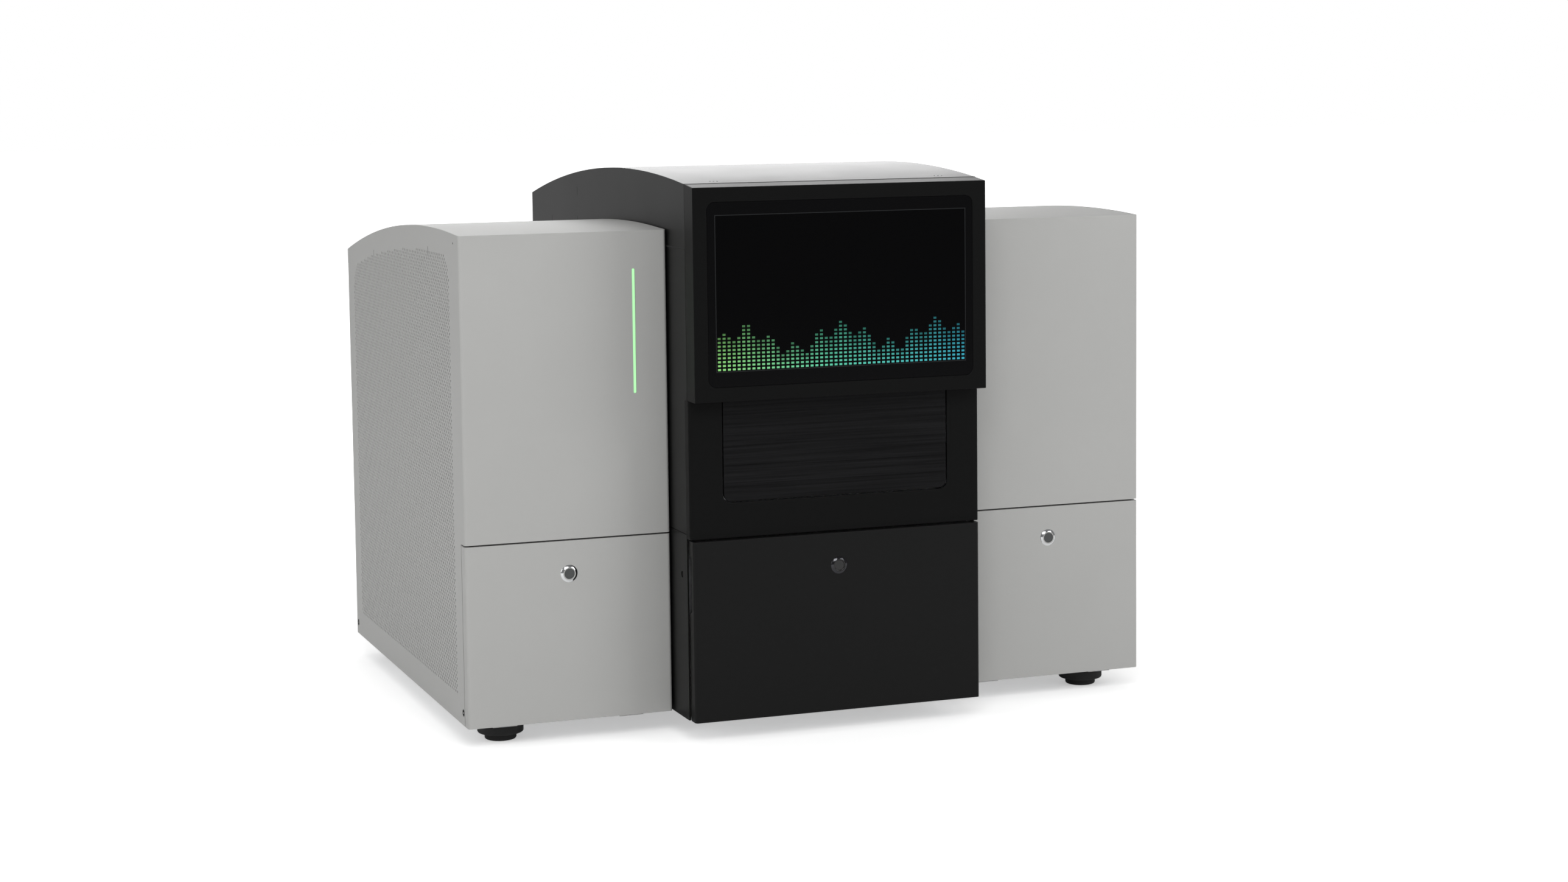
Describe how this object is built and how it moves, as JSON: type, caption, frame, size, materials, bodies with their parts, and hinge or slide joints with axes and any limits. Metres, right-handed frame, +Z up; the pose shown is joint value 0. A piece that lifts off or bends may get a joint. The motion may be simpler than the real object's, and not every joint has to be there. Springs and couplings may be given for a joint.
{
  "type": "benchtop sequencer",
  "caption": "Benchtop DNA sequencer: two grey side modules around a black tower with a display, sliding nest shutter, drop-down reagent doors and a swinging waste door.",
  "frame": {"origin": "on the bench under the centre of the instrument's overall box", "axes": "+X to the instrument's right as its user faces it, +Y from the user towards the rear, +Z up"},
  "size_m": [0.919, 0.76, 0.7065],
  "materials": {
    "grey_paint": "fine-textured matt light grey powder coat",
    "black_paint": "satin charcoal powder coat",
    "brushed_black": "black anodised with a fine level brushing",
    "screen_glass": "gloss black cover glass, backed in black",
    "display_black": "matt black display module",
    "zinc_steel": "zinc-plated sheet steel",
    "basket_steel": "satin stainless steel",
    "bright_chrome": "polished chrome",
    "dark_chrome": "black chrome",
    "button_grey": "satin grey metal",
    "button_black": "gloss black",
    "black_rubber": "matt black rubber",
    "liner_white": "matt white moulding",
    "cast_aluminium": "machined aluminium",
    "nest_dark": "hard-anodised dark aluminium",
    "lid_aluminium": "bead-blasted aluminium",
    "cell_glass": "clear glass",
    "optics_black": "black anodised",
    "brass_gear": "machined brass",
    "cartridge_plastic": "pale blue-grey moulding",
    "bottle_plastic": "natural translucent moulding",
    "cap_blue": "blue moulding",
    "light_lens": "lit pale green lens",
    "electronics_metal": "plated sheet metal",
    "fan_plastic": "black glass-filled moulding",
    "connector_black": "black moulding"
  },
  "bodies": {
    "chassis": {"base_pan": "zinc_steel", "feet": "black_rubber", "tower_frame": "zinc_steel", "tower_cheeks": "black_paint", "tower_rear_panel": "black_paint", "tower_roof": "black_paint", "display_housing": "black_paint", "display_glass": "screen_glass", "display_module": "display_black", "fascia": "black_paint", "shutter_rods": "zinc_steel", "shutter_motor": "optics_black", "nest_bay_liner": "liner_white", "stage_base": "cast_aluminium", "optics_gantry": "cast_aluminium", "left_frame": "zinc_steel", "right_frame": "zinc_steel", "left_side_panel": "grey_paint", "right_side_panel": "grey_paint", "left_roof": "grey_paint", "right_roof": "grey_paint", "left_upper_front": "grey_paint", "right_upper_front": "grey_paint", "left_rear_panel": "grey_paint", "right_rear_panel": "grey_paint", "reagent_bay_liners": "liner_white", "reagent_baskets": "basket_steel", "left_cartridge": "cartridge_plastic", "right_cartridge": "cartridge_plastic", "bottles": "bottle_plastic", "bottle_caps": "cap_blue", "waste_bay_liner": "liner_white", "door_hinges": "zinc_steel", "light_bar": "light_lens", "electronics": "electronics_metal", "fan_frames": "fan_plastic", "rear_connectors": "connector_black", "panel_screws": "zinc_steel"},
    "left_door": {"left_door": "grey_paint", "left_button_bezel": "bright_chrome"},
    "right_door": {"right_door": "grey_paint", "right_button_bezel": "bright_chrome"},
    "waste_door": {"waste_door": "black_paint", "power_button_bezel": "dark_chrome"},
    "left_button": {"left_button": "button_grey"},
    "right_button": {"right_button": "button_grey"},
    "power_button": {"power_button": "button_black"},
    "shutter": {"nest_shutter": "brushed_black"},
    "shutter_pinion": {"shutter_pinion": "brass_gear"},
    "stage": {"stage_carriage": "cast_aluminium", "nests": "nest_dark", "flow_cells": "cell_glass"},
    "left_nest_lid": {"left_nest_lid": "lid_aluminium"},
    "right_nest_lid": {"right_nest_lid": "lid_aluminium"},
    "optics": {"optics_head": "optics_black"},
    "left_sipper": {"left_sipper": "cast_aluminium"},
    "right_sipper": {"right_sipper": "cast_aluminium"},
    "left_fan": {"left_fan_rotor": "fan_plastic"},
    "right_fan": {"right_fan_rotor": "fan_plastic"},
    "rocker": {"rocker_switch": "connector_black"}
  },
  "joints": [
    {"name": "left_door_drop", "type": "hinge", "parent": "chassis", "child": "left_door", "pos_m": [-0.3276, -0.264, 0.0273], "axis": [1, 0, 0], "range_deg": [0, 90]},
    {"name": "right_door_drop", "type": "hinge", "parent": "chassis", "child": "right_door", "pos_m": [0.3276, -0.264, 0.0273], "axis": [1, 0, 0], "range_deg": [0, 90]},
    {"name": "waste_door_swing", "type": "hinge", "parent": "chassis", "child": "waste_door", "pos_m": [0.1883, -0.3461, 0.213], "axis": [0, 0, 1], "range_deg": [0, 110]},
    {"name": "left_button_press", "type": "slide", "parent": "left_door", "child": "left_button", "axis": [0, 1, 0], "range_m": [0, 0.0025], "stiffness_N_per_m": 400, "springref_m": -0.002},
    {"name": "right_button_press", "type": "slide", "parent": "right_door", "child": "right_button", "axis": [0, 1, 0], "range_m": [0, 0.0025], "stiffness_N_per_m": 400, "springref_m": -0.002},
    {"name": "power_button_press", "type": "slide", "parent": "waste_door", "child": "power_button", "axis": [0, 1, 0], "range_m": [0, 0.0025], "stiffness_N_per_m": 400, "springref_m": -0.002},
    {"name": "shutter_lift", "type": "slide", "parent": "chassis", "child": "shutter", "axis": [0, 0, 1], "range_m": [0, 0.126]},
    {"name": "pinion_turn", "type": "hinge", "parent": "chassis", "child": "shutter_pinion", "pos_m": [0.1265, -0.33463, 0.4653], "axis": [1, 0, 0], "range_deg": [-690, 0]},
    {"name": "stage_slide", "type": "slide", "parent": "chassis", "child": "stage", "axis": [0, -1, 0], "range_m": [-0.125, 0]},
    {"name": "left_lid_hinge", "type": "hinge", "parent": "stage", "child": "left_nest_lid", "pos_m": [-0.072, -0.195, 0.3403], "axis": [-1, 0, 0], "range_deg": [0, 80]},
    {"name": "right_lid_hinge", "type": "hinge", "parent": "stage", "child": "right_nest_lid", "pos_m": [0.072, -0.195, 0.3403], "axis": [-1, 0, 0], "range_deg": [0, 80]},
    {"name": "optics_slide", "type": "slide", "parent": "chassis", "child": "optics", "axis": [1, 0, 0], "range_m": [-0.072, 0.072]},
    {"name": "left_sipper_lift", "type": "slide", "parent": "chassis", "child": "left_sipper", "axis": [0, 0, 1], "range_m": [-0.058, 0]},
    {"name": "right_sipper_lift", "type": "slide", "parent": "chassis", "child": "right_sipper", "axis": [0, 0, 1], "range_m": [-0.058, 0]},
    {"name": "left_fan_spin", "type": "hinge", "parent": "chassis", "child": "left_fan", "pos_m": [-0.3276, 0.351, 0.44], "axis": [0, 1, 0], "continuous": true},
    {"name": "right_fan_spin", "type": "hinge", "parent": "chassis", "child": "right_fan", "pos_m": [0.3276, 0.351, 0.44], "axis": [0, 1, 0], "continuous": true},
    {"name": "rocker_tilt", "type": "hinge", "parent": "chassis", "child": "rocker", "pos_m": [-0.11, 0.344, 0.154], "axis": [1, 0, 0], "range_deg": [-16, 0]}
  ],
  "couplings": [
    {"joint": "pinion_turn", "follows": "shutter_lift", "rad_per_m": -95.238}
  ]
}
